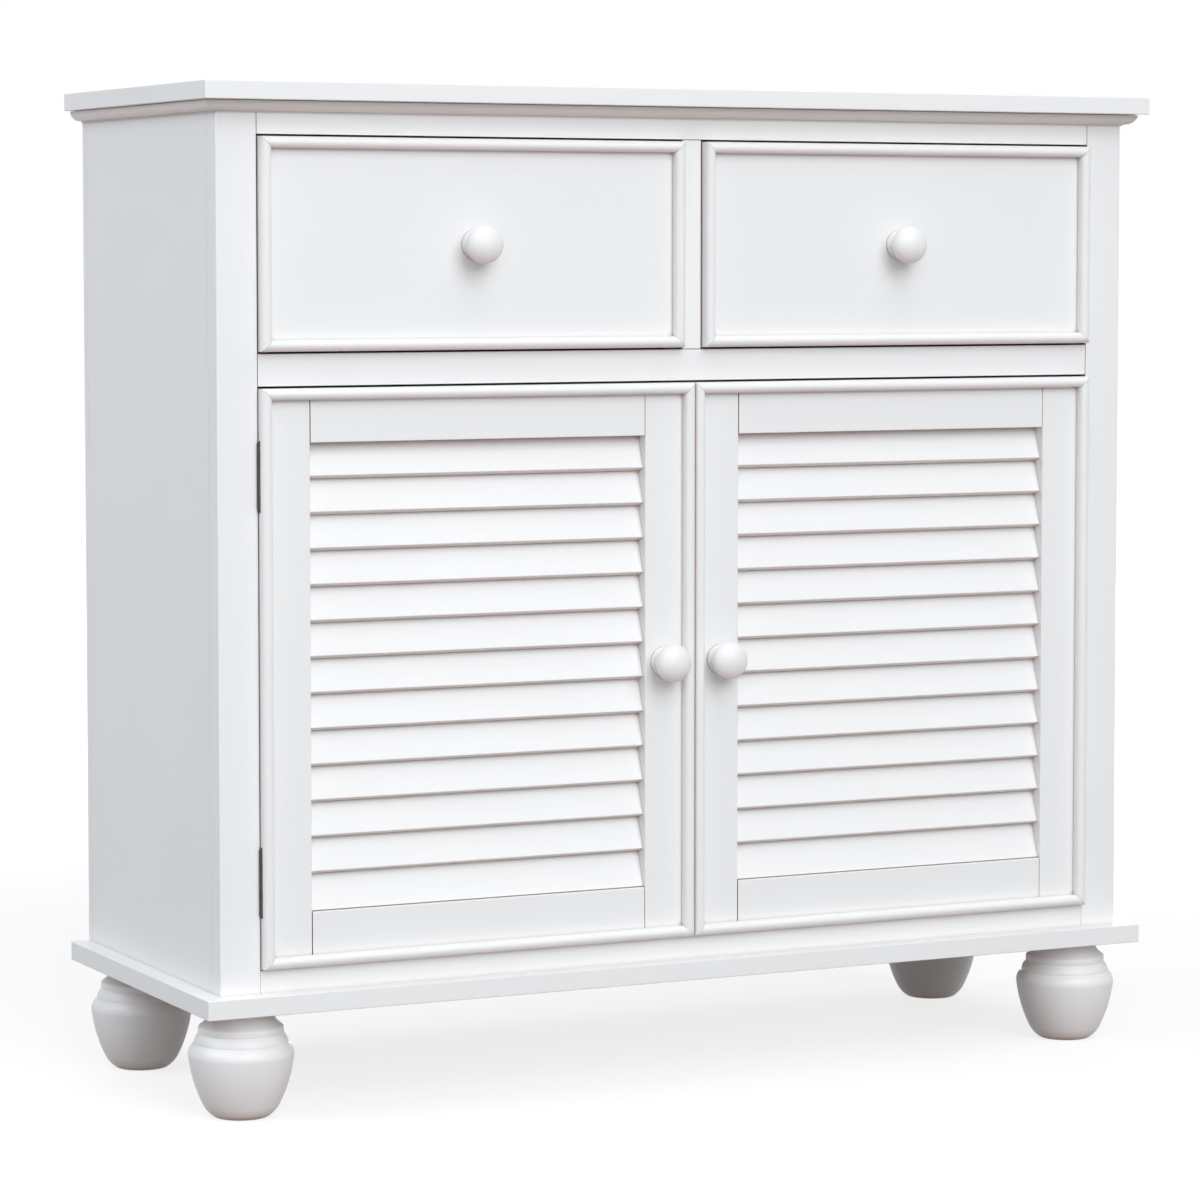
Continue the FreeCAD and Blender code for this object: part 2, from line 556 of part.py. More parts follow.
def slat_bar(x, level, room=0.0, drop=0.0):
    """A flat slat along X that leans back from its lower edge, or the slot for it when given room.
    The drop makes it longer at its lower edge."""
    lean = V(0, math.sin(SLAT_LEAN), math.cos(SLAT_LEAN))
    back = V(0, math.cos(SLAT_LEAN), -math.sin(SLAT_LEAN))
    nose = V(x[0], PANEL_FACE + SLAT_SETBACK, level + SLAT_THICKNESS * math.sin(SLAT_LEAN))
    low = nose - (lean + back) * room - lean * drop
    along = lean * (SLAT_WIDTH + drop + 2 * room)
    through = back * (SLAT_THICKNESS + 2 * room)
    section = Part.Face(Part.makePolygon([low, low + along, low + along + through, low + through, low]))
    return section.extrude(V(x[1] - x[0], 0, 0))


def slat_levels():
    """The lowest point of each slat, evenly spaced between the rails of a door."""
    first = DOOR_INNER_Z[0] + SLAT_END_GAP
    return [first + SLAT_PITCH * number for number in range(SLAT_COUNT)]


def slat_bars(x, room=0.0):
    """All slats of a door, or their slots when given room. The lowest is cut level above the bottom rail."""
    lowest, *others = slat_levels()
    longer = slat_bar(x, lowest, room, SLAT_THICKNESS * math.tan(SLAT_LEAN))
    below = board(x, DOOR_Y, (DOOR_Z[0], lowest - room))
    return [longer.cut(below)] + [slat_bar(x, level, room) for level in others]


def barrel_room(bottom):
    """The room that a hinge barrel needs in the edge of the door."""
    room = BARREL_DIAMETER / 2 + BARREL_NOTCH
    return Part.makeCylinder(room, HINGE_LENGTH + 2 * room, HINGE_AXIS + V(0, 0, bottom - room))


def leaf_plate(bottom, side):
    """Limits of one hinge leaf beside the gap; side is -1 on the frame and 1 on the door."""
    face = GAP_MIDDLE + side * LEAF_CLEARANCE / 2
    back = face + side * LEAF_THICKNESS
    return [(min(face, back), max(face, back)), (FRONT, FRONT + LEAF_WIDTH), (bottom, bottom + HINGE_LENGTH)]


def leaf_recesses(side):
    """What is cut from the edge on one side of the gap, to let in the leaves of both left hinges."""
    return [board(*grown(leaf_plate(bottom, side), FIT)) for bottom in HINGE_BOTTOMS]


def leaf_screw_places(side):
    """Head points of the screws of both left hinges, for the leaf on one side of the gap."""
    face = GAP_MIDDLE + side * LEAF_CLEARANCE / 2
    pitch = HINGE_LENGTH / HINGE_SCREWS
    return [V(face, FRONT + LEAF_WIDTH / 2, bottom + pitch * (number + 0.5))
            for bottom in HINGE_BOTTOMS for number in range(HINGE_SCREWS)]


def frame_leaf_screws(room=0.0):
    """Screws of the left frame leaves, or their holes when given room."""
    return [countersunk(place, V(-1, 0, 0), room) for place in leaf_screw_places(-1)]


def door_leaf_screws(room=0.0):
    """Screws of the left door's leaves, or their holes when given room."""
    return [countersunk(place, V(1, 0, 0), room) for place in leaf_screw_places(1)]


def hinge_leaf(bottom, side, knuckles, holes):
    """One leaf, with webs to its own knuckles; side is -1 on the frame and 1 on the door."""
    plate = leaf_plate(bottom, side)
    pitch = HINGE_LENGTH / KNUCKLE_COUNT
    leaf = board(*plate)
    for number in knuckles:
        z = (bottom + pitch * number + KNUCKLE_GAP / 2, bottom + pitch * (number + 1) - KNUCKLE_GAP / 2)
        web = board(plate[0], (HINGE_AXIS.y, FRONT), z)
        knuckle = Part.makeCylinder(BARREL_DIAMETER / 2, z[1] - z[0], HINGE_AXIS + V(0, 0, z[0]))
        leaf = leaf.fuse([web, knuckle])
    bore = Part.makeCylinder(HINGE_PIN_DIAMETER / 2 + HINGE_PIN_CLEARANCE, HINGE_LENGTH,
                             HINGE_AXIS + V(0, 0, bottom))
    leaf = leaf.cut(bore)
    for hole in holes:
        leaf = leaf.cut(hole)
    return leaf.removeSplitter()


def hinge_pin(bottom):
    """A hinge pin with a round button on each end of the barrel."""
    start = HINGE_AXIS + V(0, 0, bottom)
    end = start + V(0, 0, HINGE_LENGTH)
    pin = Part.makeCylinder(HINGE_PIN_DIAMETER / 2, HINGE_LENGTH, start)
    button = BARREL_DIAMETER / 2
    upper = Part.makeSphere(button, end, V(0, 0, 1), 0, 90, 360)
    lower = Part.makeSphere(button, start, V(0, 0, 1), -90, 0, 360)
    return pin.fuse([upper, lower]).removeSplitter()


def hinges():
    """The frame's leaves, the pins, the doors' leaves, and the screws on the frame."""
    frame_knuckles = range(0, KNUCKLE_COUNT, 2)
    door_knuckles = range(1, KNUCKLE_COUNT, 2)
    frame_holes = frame_leaf_screws(SCREW_CLEARANCE)
    door_holes = door_leaf_screws(SCREW_CLEARANCE)
    frame_leaves = [hinge_leaf(bottom, -1, frame_knuckles, frame_holes) for bottom in HINGE_BOTTOMS]
    door_leaves = [hinge_leaf(bottom, 1, door_knuckles, door_holes) for bottom in HINGE_BOTTOMS]
    pins = [hinge_pin(bottom) for bottom in HINGE_BOTTOMS]
    screws = frame_leaf_screws()
    add("frame_hinge_leaves", *frame_leaves, *[mirrored(leaf) for leaf in frame_leaves])
    add("hinge_pins", *pins, *[mirrored(pin) for pin in pins])
    add("frame_screws", *screws, *[mirrored(screw) for screw in screws], *catch_screws())
    add_pair("door_hinge_leaves", *door_leaves)


STRIKE_X = (DOOR_X[1] - STRIKE_INSET - STRIKE_WIDTH, DOOR_X[1] - STRIKE_INSET)
STRIKE_Z = (DOOR_Z[1] - STRIKE_DROP - STRIKE_HEIGHT, DOOR_Z[1] - STRIKE_DROP)
CATCH_FRONT = DOOR_BACK + STRIKE_THICKNESS + CATCH_GAP
CATCH_TOP = DECK_TOP - DECK_THICKNESS


def strike_screw(room=0.0):
    """The screw of the left door's strike, or its hole when given room."""
    head = V((STRIKE_X[0] + STRIKE_X[1]) / 2, DOOR_BACK + STRIKE_THICKNESS, (STRIKE_Z[0] + STRIKE_Z[1]) / 2)
    return countersunk(head, V(0, -1, 0), room)


def catch_screws(room=0.0):
    """The two screws that hold the catch up to the deck, or their holes when given room."""
    ear = -STRIKE_X[0] + CATCH_EAR_LENGTH / 2
    heads = [V(x, CATCH_FRONT + CATCH_DEPTH / 2, CATCH_TOP - CATCH_EAR_THICKNESS) for x in (-ear, ear)]
    return [countersunk(head, V(0, 0, 1), room) for head in heads]


def magnetic_catch():
    """A double magnetic catch: a housing behind both strikes, with an ear at each end of its top."""
    half = -STRIKE_X[0]
    y = (CATCH_FRONT, CATCH_FRONT + CATCH_DEPTH)
    housing = board((-half, half), y, (STRIKE_Z[0], CATCH_TOP))
    ears = board((-half - CATCH_EAR_LENGTH, half + CATCH_EAR_LENGTH), y,
                 (CATCH_TOP - CATCH_EAR_THICKNESS, CATCH_TOP))
    catch = housing.fuse(ears).removeSplitter()
    for hole in catch_screws(SCREW_CLEARANCE):
        catch = catch.cut(hole)
    add("magnetic_catch", catch)


def doors():
    """Each door: two stiles, two rails, slats let into the stiles, a bead, a knob and a strike."""
    outer = board((DOOR_X[0], DOOR_INNER_X[0]), DOOR_Y, DOOR_Z)
    inner_plan = [V(DOOR_INNER_X[1], PANEL_FACE, DOOR_Z[0]), V(DOOR_X[1], PANEL_FACE, DOOR_Z[0]),
                  V(DOOR_X[1] - DOOR_EDGE_BEVEL, DOOR_BACK, DOOR_Z[0]),
                  V(DOOR_INNER_X[1], DOOR_BACK, DOOR_Z[0])]
    inner = Part.Face(Part.makePolygon(inner_plan + inner_plan[:1])).extrude(V(0, 0, DOOR_Z[1] - DOOR_Z[0]))

    def beside_slats(x):
        """Whether a point is the middle of the front arris at this X."""
        return lambda p: abs(p.x - x) + abs(p.y - PANEL_FACE) < DOOR_EASE

    outer = eased(outer, DOOR_EASE, beside_slats(DOOR_INNER_X[0]))
    inner = eased(inner, DOOR_EASE, beside_slats(DOOR_INNER_X[1]))
    rails = {}
    for name, z, slat_edge in (("door_bottom_rail", (DOOR_Z[0], DOOR_INNER_Z[0]), DOOR_INNER_Z[0]),
                               ("door_top_rail", (DOOR_INNER_Z[1], DOOR_Z[1]), DOOR_INNER_Z[1])):
        rail, mortise = tenoned_rail(DOOR_INNER_X, DOOR_Y, z, SHOULDER_LINE, DOOR_TENON_LENGTH,
                                     DOOR_TENON_THICKNESS, DOOR_TENON_SHOULDER)
        rails[name] = eased(rail, DOOR_EASE,
                            lambda p: abs(p.z - slat_edge) + abs(p.y - PANEL_FACE) < DOOR_EASE)
        outer = outer.cut(mortise)
        inner = inner.cut(mortise)

    housed = (DOOR_INNER_X[0] - SLAT_HOUSING, DOOR_INNER_X[1] + SLAT_HOUSING)
    middle = (housed[0] + housed[1]) / 2
    slats = [eased(bar, SLAT_EASE, lambda p: abs(p.x - middle) < SLAT_EASE) for bar in slat_bars(housed)]
    slots = slat_bars((housed[0] - FIT, housed[1] + FIT), FIT)
    outer = outer.cut(slots)
    inner = inner.cut(slots)

    beads = bead_frame(DOOR_X, DOOR_Z)
    for bottom in HINGE_BOTTOMS:
        room = barrel_room(bottom)
        outer = outer.cut(room)
        beads = [bead.cut(room) for bead in beads]
    outer = outer.cut(leaf_recesses(1) + door_leaf_screws(SCREW_CLEARANCE))

    knob_x = DOOR_X[1] - (DOOR_STILE_WIDTH + BEAD_WIDTH) / 2
    knob_z = (DOOR_Z[0] + DOOR_Z[1]) / 2
    screw, hole = knob_screw(knob_x, knob_z, DOOR_THICKNESS)
    inner = inner.cut([hole, strike_screw(SCREW_CLEARANCE)])
    strike = board(STRIKE_X, (DOOR_BACK, DOOR_BACK + STRIKE_THICKNESS), STRIKE_Z)

    add_pair("door_outer_stile", outer)
    add_pair("door_inner_stile", inner)
    for name, rail in rails.items():
        add_pair(name, rail)
    add_pair("door_slats", *slats)
    add_pair("door_bead", *beads)
    add_pair("door_knob", knob_at(knob_x, knob_z))
    add_pair("door_strike", strike.cut(strike_screw(SCREW_CLEARANCE)))
    add_pair("door_screws", *door_leaf_screws(), screw, strike_screw())


def drawers():
    """Each drawer: a beaded front, two grooved sides, a back, a thin bottom and a knob."""
    outside = (DRAWER_X[0] + DRAWER_SIDE_INSET, DRAWER_X[1] - DRAWER_SIDE_INSET)
    inside = (outside[0] + DRAWER_SIDE_THICKNESS, outside[1] - DRAWER_SIDE_THICKNESS)
    front_back = PANEL_FACE + DRAWER_FRONT_THICKNESS
    side_y = (front_back - DRAWER_LOCK, BACK_FACE - DRAWER_STOP_GAP)
    side_z = (DECK_TOP + DRAWER_RUN_GAP, TOP_RAIL_BOTTOM - DRAWER_HEAD_ROOM)
    bottom_z = (side_z[0] + DRAWER_BOTTOM_LIFT, side_z[0] + DRAWER_BOTTOM_LIFT + DRAWER_BOTTOM_THICKNESS)
    back_y = (side_y[1] - DRAWER_BACK_INSET - DRAWER_BACK_THICKNESS, side_y[1] - DRAWER_BACK_INSET)
    side_limits = [[(outside[0], inside[0]), side_y, side_z], [(inside[1], outside[1]), side_y, side_z]]
    bottom = [(inside[0] - DRAWER_BOTTOM_HOUSING, inside[1] + DRAWER_BOTTOM_HOUSING),
              (front_back - DRAWER_BOTTOM_HOUSING, back_y[1]), bottom_z]
    back = [(inside[0] - DRAWER_BACK_HOUSING, inside[1] + DRAWER_BACK_HOUSING), back_y,
            (bottom_z[1] + FIT, side_z[1] - DRAWER_BACK_DROP)]

    front = board(DRAWER_X, (PANEL_FACE, front_back), DRAWER_Z)
    knob_x = (DRAWER_X[0] + DRAWER_X[1]) / 2
    knob_z = (DRAWER_Z[0] + DRAWER_Z[1]) / 2
    screw, hole = knob_screw(knob_x, knob_z, DRAWER_FRONT_THICKNESS)
    grooves = [board(*grown(limits, FIT)) for limits in side_limits + [bottom]]
    bottom_groove = board(*grown(bottom, FIT))
    back_groove = board(*grown(back, FIT))

    add_pair("drawer_front", front.cut(grooves + [hole]))
    add_pair("drawer_bead", *bead_frame(DRAWER_X, DRAWER_Z))
    add_pair("drawer_sides", *[board(*limits).cut([bottom_groove, back_groove]) for limits in side_limits])
    add_pair("drawer_back", board(*back))
    add_pair("drawer_bottom", board(*bottom))
    add_pair("drawer_knob", knob_at(knob_x, knob_z))
    add_pair("drawer_knob_screw", screw)


top_and_base()
face_frame()
carcass()
hinges()
magnetic_catch()
doors()
drawers()

os.makedirs("parts", exist_ok=True)
for piece_name, piece in PIECES.items():
    piece.exportStep("parts/" + piece_name + ".step")
print(len(PIECES), "pieces,", round(TOP_TOP, 2), "mm high")
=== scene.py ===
# %% [markdown]
# # A white cabinet with two drawers and two louvred doors
#
# The real cabinet is made of painted boards: a carcass with a face frame, two drawers, two louvred
# doors and four turned feet. Its construction comes in as a fixed frame of named solids, already in
# metres and already in place. This lesson gives every board its finish, turns the round pieces on a
# numpy lathe, and sets up the light and the camera. The first step loads the frame and keeps its box.

# %% Load the frame
import json
import math
import bpy
import numpy as np
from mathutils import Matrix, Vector

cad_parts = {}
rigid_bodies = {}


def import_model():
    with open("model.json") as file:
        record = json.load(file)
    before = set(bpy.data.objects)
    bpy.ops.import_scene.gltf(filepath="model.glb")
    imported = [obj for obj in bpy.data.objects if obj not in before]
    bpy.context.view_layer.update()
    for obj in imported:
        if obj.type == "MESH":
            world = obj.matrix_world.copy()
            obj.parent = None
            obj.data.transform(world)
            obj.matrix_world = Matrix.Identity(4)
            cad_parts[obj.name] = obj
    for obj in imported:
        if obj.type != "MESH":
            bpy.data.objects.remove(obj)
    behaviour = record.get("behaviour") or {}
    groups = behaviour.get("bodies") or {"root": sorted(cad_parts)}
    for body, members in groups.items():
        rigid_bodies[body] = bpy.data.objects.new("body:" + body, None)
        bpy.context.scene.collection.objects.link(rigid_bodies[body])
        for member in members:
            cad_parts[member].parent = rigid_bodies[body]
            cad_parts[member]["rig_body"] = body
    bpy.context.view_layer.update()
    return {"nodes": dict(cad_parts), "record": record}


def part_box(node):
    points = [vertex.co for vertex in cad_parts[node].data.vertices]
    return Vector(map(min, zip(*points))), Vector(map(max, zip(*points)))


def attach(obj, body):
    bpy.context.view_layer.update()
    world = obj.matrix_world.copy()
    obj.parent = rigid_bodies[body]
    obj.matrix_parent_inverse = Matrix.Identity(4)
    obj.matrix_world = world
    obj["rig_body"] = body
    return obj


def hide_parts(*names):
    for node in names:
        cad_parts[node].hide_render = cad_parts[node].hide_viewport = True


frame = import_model()
nodes = frame["nodes"]

# %% [markdown]
# ## The camera
#
# The photograph was taken from about 4 metres away, left of the middle and a little below the top
# board, with a long lens. Its upright edges stay nearly parallel, as they do when a camera is held
# almost level and its picture is shifted down. The place, the two angles and the focal length come
# from matching the corners of the boards in the photograph with the corners of the solids.

# %% Camera
PHOTO_SIZE = 1200.0                  # the photograph is this many pixels wide and high
FOCAL_PIXELS = 4209.0
AXIS_ROW = 540.0                     # row of the photograph that the optical axis meets
SENSOR_WIDTH = 36.0                  # millimetres, the sensor that Blender's focal length refers to
CAMERA_PLACE = Vector((-1.7837, -3.5808, 0.7647))
CAMERA_TURN = math.radians(26.268)   # to the right of straight ahead
CAMERA_NOD = math.radians(-3.888)    # below level


def put_in_scene(name, data):
    """An object with that name and data, linked into the scene."""
    thing = bpy.data.objects.new(name, data)
    bpy.context.scene.collection.objects.link(thing)
    return thing


camera_data = bpy.data.cameras.new("camera")
camera_data.sensor_width = SENSOR_WIDTH
camera_data.lens = FOCAL_PIXELS / PHOTO_SIZE * SENSOR_WIDTH
camera_data.shift_y = (AXIS_ROW - PHOTO_SIZE / 2) / PHOTO_SIZE
camera = put_in_scene("camera", camera_data)
camera.location = CAMERA_PLACE
camera.rotation_euler = (math.pi / 2 + CAMERA_NOD, 0.0, -CAMERA_TURN)
bpy.context.scene.camera = camera
bpy.context.scene.view_settings.view_transform = "Standard"
print("lens of", round(camera_data.lens, 1), "mm, shifted by", round(camera_data.shift_y, 3))

# %% [markdown]
# ## Node trees in one line each
#
# A finish in Blender is a tree of shader nodes. Adding a node, setting its values and joining its
# inputs takes many lines when written out, so one helper does all three: its settings are the node's
# own properties, and each socket gets either a plain value or the output that feeds it. Shorter
# helpers stand on it for the three nodes that come back most.

# %% Helpers for shader nodes
def feed(tree, node, sockets):
    """Give each named input of a node a plain value, or a link from the output that feeds it."""
    for name, value in sockets.items():
        if isinstance(value, bpy.types.NodeSocket):
            tree.links.new(value, node.inputs[name])
        else:
            node.inputs[name].default_value = value


def wire(tree, kind, sockets=None, **settings):
    """Add a node of one kind, set its own properties and feed its inputs."""
    node = tree.nodes.new(kind)
    for name, value in settings.items():
        setattr(node, name, value)
    feed(tree, node, sockets or {})
    return node


def combine(tree, operation, first, second):
    """One step of arithmetic on two values."""
    return wire(tree, "ShaderNodeMath", {0: first, 1: second}, operation=operation).outputs[0]


def mix(tree, factor, first, second):
    """The colour that goes from the first to the second while the factor goes from 0 to 1."""
    sockets = {"Factor": factor, "A": first, "B": second}
    return wire(tree, "ShaderNodeMix", sockets, data_type="RGBA").outputs["Result"]


def ranged(tree, value, before=(0.0, 1.0), after=(0.0, 1.0), **settings):
    """A value carried from one range to another and held at its ends."""
    sockets = {"Value": value, "From Min": before[0], "From Max": before[1],
               "To Min": after[0], "To Max": after[1]}
    return wire(tree, "ShaderNodeMapRange", sockets, **settings).outputs["Result"]


# %% [markdown]
# ## A white studio
#
# The photograph has a pure white background and soft light from above and in front, with the left
# side in a cool shade. A sky that is white to the camera and a dim, slightly blue grey to everything
# else gives both. A white backdrop lit by more lamps would burn out the white paint instead.
# The floor sends a little warm light back up. To the camera it is white where light falls freely on
# it, and it glows more and more away from the cabinet, so its far edge melts into the sky and only
# the cabinet's own shadow shows on it.

# %% Sky
SKY_LOW = (0.198, 0.206, 0.216, 1.0)    # light from the level of the floor
SKY_HIGH = (0.298, 0.306, 0.320, 1.0)   # light from straight above
WHITE = (1.0, 1.0, 1.0, 1.0)


def seen_directly(tree):
    """1 for rays from the camera, off a gloss or through glass, and 0 for the light on things."""
    path = wire(tree, "ShaderNodeLightPath").outputs
    straight = combine(tree, "MAXIMUM", path["Is Camera Ray"], path["Is Glossy Ray"])
    return combine(tree, "MAXIMUM", straight, path["Is Transmission Ray"])


world = bpy.data.worlds.new("studio")
bpy.context.scene.world = world
world.use_nodes = True
sky_tree = world.node_tree
sky_tree.nodes.clear()
direction = wire(sky_tree, "ShaderNodeTexCoord").outputs["Generated"]
height = wire(sky_tree, "ShaderNodeSeparateXYZ", {"Vector": direction}).outputs["Z"]
lighting = wire(sky_tree, "ShaderNodeBackground",
                {"Color": mix(sky_tree, height, SKY_LOW, SKY_HIGH), "Strength": 1.0})
shown = wire(sky_tree, "ShaderNodeBackground", {"Color": WHITE, "Strength": 1.0})
sky = wire(sky_tree, "ShaderNodeMixShader",
           {0: seen_directly(sky_tree), 1: lighting.outputs[0], 2: shown.outputs[0]})
wire(sky_tree, "ShaderNodeOutputWorld", {"Surface": sky.outputs[0]})
print("sky of", len(sky_tree.nodes), "nodes")

# %% Floor
FLOOR_BOUNCE = (0.32, 0.305, 0.295, 1.0)
FLOOR_SEEN = (0.25, 0.25, 0.25, 1.0)
FLOOR_GLOW = (0.78, 1.0)                # close to the cabinet, and far away
FLOOR_FADE = (0.9, 3.0)                 # metres from the middle where the glow begins and ends to grow
FLOOR_REACH = 14.0                      # metres from the middle to each edge


def empty_material(name):
    """A material without nodes, and its node tree."""
    material = bpy.data.materials.new(name)
    material.use_nodes = True
    material.node_tree.nodes.clear()
    return material, material.node_tree


def floor_finish(name):
    """Slightly warm to the light that it sends back up, and white with a soft shadow to the camera."""
    material, tree = empty_material(name)
    bounce = wire(tree, "ShaderNodeBsdfDiffuse", {"Color": FLOOR_BOUNCE})
    shaded = wire(tree, "ShaderNodeBsdfDiffuse", {"Color": FLOOR_SEEN})
    place = wire(tree, "ShaderNodeTexCoord").outputs["Object"]
    distance = wire(tree, "ShaderNodeVectorMath", {0: place}, operation="LENGTH").outputs["Value"]
    fade = ranged(tree, distance, FLOOR_FADE, FLOOR_GLOW, interpolation_type="SMOOTHSTEP")
    glow = wire(tree, "ShaderNodeEmission", {"Color": WHITE, "Strength": fade})
    white = wire(tree, "ShaderNodeAddShader", {0: shaded.outputs[0], 1: glow.outputs[0]})
    both = wire(tree, "ShaderNodeMixShader",
                {0: seen_directly(tree), 1: bounce.outputs[0], 2: white.outputs[0]})
    wire(tree, "ShaderNodeOutputMaterial", {"Surface": both.outputs[0]})
    return material


floor_mesh = bpy.data.meshes.new("studio_floor")
corners = np.array([[-1, -1, 0], [1, -1, 0], [1, 1, 0], [-1, 1, 0]]) * FLOOR_REACH
floor_mesh.from_pydata(corners.tolist(), [], [(0, 1, 2, 3)])
floor_mesh.materials.append(floor_finish("studio_floor"))
floor = put_in_scene("studio_floor", floor_mesh)
print("floor", 2 * FLOOR_REACH, "metres across")

# %% [markdown]
# ## The lamps
#
# The shadows of the knobs fall straight down and they are soft, so the main light is a large panel
# high in front. It stands far away, because a near one would light the drawers much more than the
# base. A steep panel shades the rail under the top board. Weaker ones lift the lower doors and the
# left side, and one behind keeps the back from going grey. Together they leave white paint just
# below white, because at full white the mouldings would disappear.

# %% Lamps
CABINET_MIDDLE = Vector((0.0, 0.0, 0.45))
DAYLIGHT = (0.960, 0.978, 1.0)
SHADE = (0.890, 0.938, 1.0)
PANELS = {                              # place and size in metres, power in watts, and colour
    "high_panel": ((0.8, -14.5, 9.4), 11.0, 1520.0, DAYLIGHT),
    "steep_panel": ((0.0, -2.2, 4.6), 3.0, 45.0, DAYLIGHT),
    "low_panel": ((0.3, -6.5, 1.2), 3.5, 26.0, DAYLIGHT),
    "front_left_panel": ((-3.0, -5.5, 2.6), 3.0, 55.0, DAYLIGHT),
    "left_panel": ((-4.0, 0.4, 3.4), 2.5, 95.0, SHADE),
    "rear_panel": ((3.0, 5.0, 0.9), 1.6, 100.0, DAYLIGHT),
}


def panel_light(name, place, size, power, colour):
    """A square soft light at a place, turned to the middle of the cabinet."""
    data = bpy.data.lights.new(name, "AREA")
    data.size = size
    data.energy = power
    data.color = colour
    lamp = put_in_scene(name, data)
    lamp.location = place
    lamp.rotation_euler = (CABINET_MIDDLE - Vector(place)).to_track_quat("-Z", "Y").to_euler()


for panel, settings in PANELS.items():
    panel_light(panel, *settings)
print(len(PANELS), "panels,", sum(power for _, _, power, _ in PANELS.values()), "watts in all")

# %% [markdown]
# ## What every finish shares
#
# Wood, paint, metal and plastic all vary a little over a surface, and all of them could be painted as
# pictures. Noise worked out from the place on the piece needs no picture and stays sharp close up.
# Squeezed along a board, the same noise turns into fibres and grain that run along it.

# %% Helpers for finishes
def new_finish(name):
    """A material with a Principled shader, its node tree and that shader."""
    material, tree = empty_material(name)
    shader = wire(tree, "ShaderNodeBsdfPrincipled")
    wire(tree, "ShaderNodeOutputMaterial", {"Surface": shader.outputs[0]})
    return material, tree, shader


def place_on(tree):
    """Where a point lies on its piece, in metres."""
    return wire(tree, "ShaderNodeTexCoord").outputs["Object"]


def drawn_out(tree, axes, lengths):
    """The place squeezed along the named axes, so that noise on it is drawn out there."""
    squeeze = [1.0 / lengths if letter in axes else 1.0 for letter in "XYZ"]
    sockets = {"Vector": place_on(tree), "Scale": squeeze}
    return wire(tree, "ShaderNodeMapping", sockets).outputs["Vector"]


def noise(tree, vector, scale, detail, roughness):
    """Smooth noise from 0 to 1 over a vector: how many spots to a metre, how many times finer spots
    are added to them, and how strong each finer layer is beside the one before."""
    sockets = {"Vector": vector, "Scale": scale, "Detail": detail, "Roughness": roughness}
    return wire(tree, "ShaderNodeTexNoise", sockets).outputs["Fac"]


def bump(tree, heights, reach, **below):
    """The normal of a surface lifted by heights from 0 to 1 times a reach."""
    sockets = {"Height": heights, "Distance": reach, "Strength": 1.0, **below}
    return wire(tree, "ShaderNodeBump", sockets).outputs["Normal"]


# %% [markdown]
# ## White paint over wood
#
# Every board is painted with a satin white spray paint. Close up it isn't flat: the fibres of the wood
# lift it in fine lines along the board, the spray leaves a slight ripple, and its shine changes a
# little from place to place. Painted shade goes into its colour as well: undersides are painted a
# warm, darker white, and crevices and joints a brown that is partly the bare wood of a joint and
# partly painted shade. One function makes the paint for boards that run along X or Z, and for turned
# pieces, whose fibres are cut round the axis.

# %% Paint
MM = 0.001                           # a millimetre in Blender's metres
PAINT_LIGHT = (0.885, 0.885, 0.885, 1.0)
PAINT_DARK = (0.850, 0.848, 0.845, 1.0)
PAINT_SHINE = (0.36, 0.46)           # roughness, from the smoothest to the dullest
CLOUDS = (9.0, 3.0, 0.5)             # noise of the colour and the shine: scale, detail and roughness
FIBRES = (420.0, 4.0, 0.6)
FIBRE_LENGTHS = 28.0                 # how many times longer than wide a fibre is
FIBRE_HEIGHT = 0.05 * MM
RIPPLES = (300.0, 2.0, 0.5)
RIPPLE_HEIGHT = 0.03 * MM
# painted shade: surfaces that face down are painted this warm, darker white
UNDERSIDE_SHADE = (0.875, 0.755, 0.715, 1.0)
UNDERSIDE = (0.0, -1.0)              # rise of the normal where the painted underside shade begins and is strongest
CREVICE_SHADE_AND_WOOD = (0.50, 0.33, 0.23, 1.0)    # painted shade in crevices and joints, brown, partly the bare wood of a joint
CREVICE_REACH = 6.0 * MM
CREVICE_RAYS = 8
CREVICE_OPENNESS = (0.04, 0.70)      # share of open sky where a surface takes all the painted crevice shade and none of it


def white_paint(name, axes):
    """Satin paint: colour and shine drift with the noise, fibres and spray ripple lift the surface,
    and painted shade turns undersides a warm darker white and crevices brown, partly bare wood."""
    material, tree, shader = new_finish(name)
    fibres = noise(tree, drawn_out(tree, axes, FIBRE_LENGTHS), *FIBRES)
    clouds = noise(tree, place_on(tree), *CLOUDS)
    coat = mix(tree, combine(tree, "MULTIPLY", fibres, clouds), PAINT_LIGHT, PAINT_DARK)
    normal = wire(tree, "ShaderNodeTexCoord").outputs["Normal"]
    rise = wire(tree, "ShaderNodeSeparateXYZ", {"Vector": normal}).outputs["Z"]
    # Painted shade: the colour turns to the warm, darker white as the surface faces further down.
    shaded_below = mix(tree, ranged(tree, rise, UNDERSIDE), coat, UNDERSIDE_SHADE)
    # Painted shade, partly the bare wood of joints: where little open sky is close by, the colour
    # turns brown.
    near = wire(tree, "ShaderNodeAmbientOcclusion", {"Distance": CREVICE_REACH}, samples=CREVICE_RAYS)
    open_share = ranged(tree, near.outputs["AO"], CREVICE_OPENNESS)
    spray = bump(tree, noise(tree, place_on(tree), *RIPPLES), RIPPLE_HEIGHT)
    feed(tree, shader, {"Base Color": mix(tree, open_share, CREVICE_SHADE_AND_WOOD, shaded_below),
                        "Roughness": ranged(tree, clouds, after=PAINT_SHINE),
                        "Normal": bump(tree, fibres, FIBRE_HEIGHT, Normal=spray)})
    return material


paint = {axes: white_paint("white_paint_" + axes.lower(), axes) for axes in ("X", "Z", "XY", "XZ")}
print("paints:", sorted(material.name for material in paint.values()))

# %% [markdown]
# ## Bare wood
#
# Inside the drawers the wood is left bare: pale boards with long straight grain. Slow bands of growth
# and fine pores are two noises of different scale, and where both are strong the wood is deepest.

